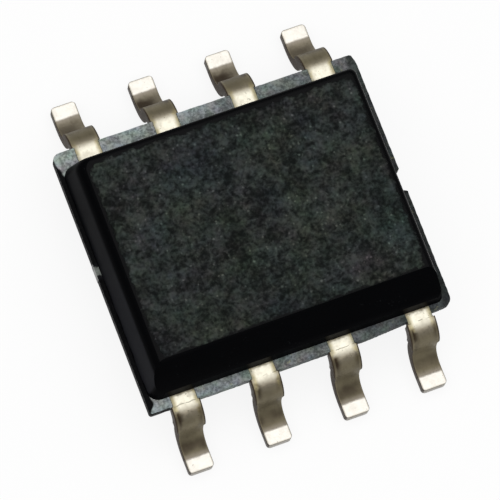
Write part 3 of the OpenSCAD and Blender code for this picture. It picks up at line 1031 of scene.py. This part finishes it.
def set_lead(master, name, x, near, finish):
    """Sets a copy of a lead in its place in a row."""
    take(master)
    bpy.ops.object.duplicate()
    lead = new_piece(name + "_plated")
    turn = Matrix.Rotation(math.pi if near else 0, 4, "Z")
    lead.data.transform(Matrix.Translation((x, 0, 0)) @ turn)
    to_metres(lead)
    dress(lead, [finish], "tinned_lead", name)
    return lead


# ---------------------------------------------------------------- operators


class PACKAGE_OT_moulding(bpy.types.Operator):
    """Models the moulded block with its rim of flash and its grained top"""

    bl_idname = "package.moulding"
    bl_label = "Moulding"
    bl_options = {"REGISTER", "UNDO"}

    def execute(self, context):
        s = context.scene.package_moulding
        thickness = context.scene.package_leads.thickness / MM
        block = model_block(s, thickness)
        rim = model_rim(s, thickness)
        carve(block, "UNION", rim)
        pin = add_pin("pin", 0, -s.block_shift / MM, BASE_Z - 0.5,
                      BASE_Z + s.ejector_depth / MM, s.ejector_mark / MM / 2)
        carve(block, "DIFFERENCE", pin)
        for node in SEALED:
            carve(block, "DIFFERENCE", blank_of(node))
        lay_grain(block, s)
        take(block)
        bpy.ops.object.shade_smooth_by_angle(angle=math.radians(28))
        to_metres(block)
        dress(block, [wall_finish(s), grain_finish(s), rim_finish(s)],
              "mould_compound", "mould_body")
        share_out_faces(block, s, thickness)
        return {"FINISHED"}


class PACKAGE_OT_leads(bpy.types.Operator):
    """Bends, cuts and plates the eight gull-wing leads"""

    bl_idname = "package.leads"
    bl_label = "Leads"
    bl_options = {"REGISTER", "UNDO"}

    def execute(self, context):
        s = context.scene.package_leads
        wall = block_sides(context.scene.package_moulding).near
        finish = plate_finish(s, RIM_Y + wall)
        masters = {0: model_lead(s, "middle_lead", LEAD_LOW.y, 0)}
        for lean in (-1, 1):
            masters[lean] = model_lead(s, "corner_lead", CORNER_LOW.y, lean)
        for row, near in ((NEAR_LEADS, True), (reversed(FAR_LEADS), False)):
            leans = (-1, 0, 0, 1) if near else (1, 0, 0, -1)
            for k, (name, lean) in enumerate(zip(row, leans)):
                set_lead(masters[lean], name, (k - 1.5) * s.pitch / MM, near, finish)
        for master in masters.values():
            bpy.data.objects.remove(master)
        return {"FINISHED"}


class PACKAGE_OT_inside(bpy.types.Operator):
    """Finishes the die pad, adhesive, die and bond wires, which keep the frame's shapes"""

    bl_idname = "package.inside"
    bl_label = "Inside"
    bl_options = {"REGISTER", "UNDO"}

    def execute(self, context):
        made = inside_finishes(context.scene.package_inside)
        for name, node in frame["nodes"].items():
            for key, finish in made.items():
                if name.startswith(key):
                    for slot in node.material_slots:
                        slot.material = finish
        return {"FINISHED"}


class PACKAGE_OT_studio(bpy.types.Operator):
    """Sets up the floor, the soft light and the camera"""

    bl_idname = "package.studio"
    bl_label = "Studio"
    bl_options = {"REGISTER", "UNDO"}

    def execute(self, context):
        s = context.scene.package_studio
        self.lay_floor(s)
        self.light(context, s)
        self.aim_camera(context, s)
        context.scene.view_settings.view_transform = "Standard"
        return {"FINISHED"}

    def lay_floor(self, s):
        """Pale plain floor under the feet."""
        clear_bench()
        bpy.ops.mesh.primitive_circle_add(vertices=96, radius=s.floor_radius, fill_type="NGON",
                                          location=(0, 0, -1e-6))
        floor = new_piece("floor")
        f = Finish("pale_floor", Roughness=0.9, Specular_IOR_Level=0.0)
        f.fill(f.shader.inputs["Base Color"], s.floor_colour)
        path = f.node("ShaderNodeLightPath")
        seen = Value(f, path.outputs["Is Camera Ray"]).most(
            path.outputs["Is Glossy Ray"]).most(path.outputs["Is Transmission Ray"])
        white = f.node("ShaderNodeEmission", None, {"Color": (1, 1, 1), "Strength": 1.0})
        mix = f.node("ShaderNodeMixShader", None,
                     {0: seen * s.floor_white, 1: f.shader.outputs[0], 2: white.outputs[0]})
        out = f.tree.nodes["Material Output"]
        f.tree.links.new(mix.outputs[0], out.inputs["Surface"])
        floor.data.materials.append(f.material)

    def light(self, context, s):
        """One broad soft light overhead, and an even room round it."""
        lamp = bpy.data.lights.new("overhead", "AREA")
        lamp.shape = "DISK"
        lamp.size = 2 * s.box_radius
        lamp.energy = s.box_level * math.pi * math.pi * s.box_radius ** 2
        head = bpy.data.objects.new("overhead", lamp)
        head.location = (0, 0, s.box_height)
        context.scene.collection.objects.link(head)
        world = bpy.data.worlds.new("room")
        world.use_nodes = True
        background = world.node_tree.nodes["Background"]
        background.inputs["Color"].default_value = (1, 1, 1, 1)
        background.inputs["Strength"].default_value = s.fill_level
        context.scene.world = world

    def aim_camera(self, context, s):
        """Long lens, high over the corner by lead 1, rolled about its line of sight."""
        lens = bpy.data.cameras.new("camera")
        lens.lens = s.lens / MM
        lens.clip_start, lens.clip_end = 0.002, 2.0
        camera = bpy.data.objects.new("camera", lens)
        context.scene.collection.objects.link(camera)
        back = Vector((math.sin(s.azimuth) * math.cos(s.elevation),
                       -math.cos(s.azimuth) * math.cos(s.elevation), math.sin(s.elevation)))
        right = (-back).cross(Vector((0, 0, 1))).normalized()
        up = right.cross(-back)
        across = right * math.cos(s.roll) + up * math.sin(s.roll)
        upright = up * math.cos(s.roll) - right * math.sin(s.roll)
        pose = Matrix((across, upright, back)).transposed().to_4x4()
        pose.translation = Vector(s.target) + back * s.distance
        camera.matrix_world = pose
        context.scene.camera = camera


class PACKAGE_PT_panel(bpy.types.Panel):
    """Lists the pieces of the package"""

    bl_idname = "PACKAGE_PT_panel"
    bl_label = "Package"
    bl_space_type = "VIEW_3D"
    bl_region_type = "UI"
    bl_category = "Package"

    def draw(self, context):
        for operator, group in STEPS:
            box = self.layout.box()
            box.operator(operator.bl_idname)
            settings = getattr(context.scene, group)
            for name in settings.__annotations__:
                box.prop(settings, name)


STEPS = (
    (PACKAGE_OT_moulding, "package_moulding"),
    (PACKAGE_OT_leads, "package_leads"),
    (PACKAGE_OT_inside, "package_inside"),
    (PACKAGE_OT_studio, "package_studio"),
)
GROUPS = {
    "package_moulding": MouldingSettings,
    "package_leads": LeadSettings,
    "package_inside": InsideSettings,
    "package_studio": StudioSettings,
}


def register():
    """Registers the settings, the operators and the panel."""
    for name, group in GROUPS.items():
        bpy.utils.register_class(group)
        setattr(bpy.types.Scene, name, bpy.props.PointerProperty(type=group))
    for operator, _ in STEPS:
        bpy.utils.register_class(operator)
    bpy.utils.register_class(PACKAGE_PT_panel)


def unregister():
    """Takes back all that register added."""
    bpy.utils.unregister_class(PACKAGE_PT_panel)
    for operator, _ in STEPS:
        bpy.utils.unregister_class(operator)
    for name, group in GROUPS.items():
        delattr(bpy.types.Scene, name)
        bpy.utils.unregister_class(group)


def main():
    register()
    bpy.ops.package.moulding()
    bpy.ops.package.leads()
    bpy.ops.package.inside()
    bpy.ops.package.studio()


if __name__ == "__main__":
    main()
